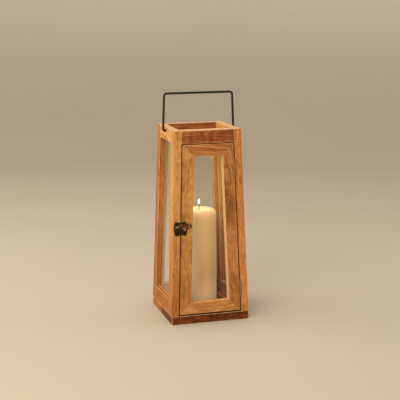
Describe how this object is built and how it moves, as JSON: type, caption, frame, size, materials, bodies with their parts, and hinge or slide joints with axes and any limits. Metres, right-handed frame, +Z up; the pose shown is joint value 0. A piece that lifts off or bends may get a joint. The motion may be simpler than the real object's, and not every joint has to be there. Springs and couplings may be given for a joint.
{
  "type": "candle lantern",
  "caption": "Tapered wooden candle lantern with glass panes, a hinged glass door with a hook latch, an open top, a black rod bail handle and a pillar candle.",
  "frame": {"origin": "centre of the base's underside, on the surface that the lantern stands on", "axes": "+Z up along the lantern's height, -Y out through the door, +X to the right as seen from the door side"},
  "size_m": [0.18, 0.1828, 0.513],
  "materials": {
    "wood_light": "light mango wood, oiled, satin, open straight grain with brown streaks",
    "wood_mid": "mid-brown mango wood, oiled, satin, darker grain lines and patches",
    "wood_dark": "dark reddish mango wood, oiled, satin",
    "wood_base": "dark reddish brown plank, satin, end grain at its short edges",
    "black_metal": "black powder-coated steel, slightly textured, semi-matt",
    "antique_brass": "antique bronze-toned brass, dark patina with rubbed edges",
    "hinge_metal": "dulled greyish brass-plated steel",
    "wax": "ivory paraffin wax, smooth, slightly translucent, softly glowing near the flame",
    "cotton": "braided cotton wick, charred dark",
    "glass": "clear 2 mm float glass"
  },
  "bodies": {
    "lantern": {"base_plank_front": "wood_base", "base_plank_rear": "wood_mid", "candle_plate": "black_metal", "left_front_post": "wood_light", "left_rear_post": "wood_light", "left_top_rail": "wood_light", "left_bottom_rail": "wood_light", "left_glass": "glass", "right_front_post": "wood_light", "right_rear_post": "wood_light", "right_top_rail": "wood_light", "right_bottom_rail": "wood_light", "right_glass": "glass", "front_top_rail": "wood_dark", "door_stop_top": "wood_mid", "door_stop_left": "wood_mid", "door_stop_right": "wood_mid", "rear_top_rail": "wood_mid", "rear_bottom_rail": "wood_mid", "rear_left_strip": "wood_mid", "rear_right_strip": "wood_mid", "rear_glass": "glass", "hinge_top_post_leaf": "hinge_metal", "hinge_top_pin": "hinge_metal", "hinge_top_post_screw_upper": "hinge_metal", "hinge_top_post_screw_lower": "hinge_metal", "hinge_bottom_post_leaf": "hinge_metal", "hinge_bottom_pin": "hinge_metal", "hinge_bottom_post_screw_upper": "hinge_metal", "hinge_bottom_post_screw_lower": "hinge_metal", "latch_post_plate": "antique_brass", "latch_stud": "antique_brass", "latch_post_nail_upper": "antique_brass", "latch_post_nail_lower": "antique_brass"},
    "door": {"door_left_stile": "wood_mid", "door_right_stile": "wood_mid", "door_top_rail": "wood_mid", "door_bottom_rail": "wood_light", "door_glass": "glass", "hinge_top_door_leaf": "hinge_metal", "hinge_top_door_screw_upper": "hinge_metal", "hinge_top_door_screw_lower": "hinge_metal", "hinge_bottom_door_leaf": "hinge_metal", "hinge_bottom_door_screw_upper": "hinge_metal", "hinge_bottom_door_screw_lower": "hinge_metal", "latch_door_plate": "antique_brass", "latch_pivot_rivet": "antique_brass", "latch_door_nail_upper": "antique_brass", "latch_door_nail_lower": "antique_brass"},
    "hook": {"latch_hook": "antique_brass"},
    "bail": {"bail_handle": "black_metal"},
    "candle": {"candle": "wax", "wick": "cotton"}
  },
  "joints": [
    {"name": "door_hinge", "type": "hinge", "parent": "lantern", "child": "door", "pos_m": [0.06133, -0.08073, 0.351], "axis": [-0.0336, 0.0336, 0.9989], "range_deg": [0, 170]},
    {"name": "hook_pivot", "type": "hinge", "parent": "door", "child": "hook", "pos_m": [-0.058, -0.08334, 0.217], "axis": [0, 0.9994, -0.0336], "range_deg": [0, 90]},
    {"name": "bail_pivot", "type": "hinge", "parent": "lantern", "child": "bail", "pos_m": [0, 0, 0.427], "axis": [1, 0, 0], "range_deg": [-100, 98]},
    {"name": "candle_lift", "type": "slide", "parent": "lantern", "child": "candle", "axis": [0, 0, 1], "range_m": [0, 0.23]}
  ]
}
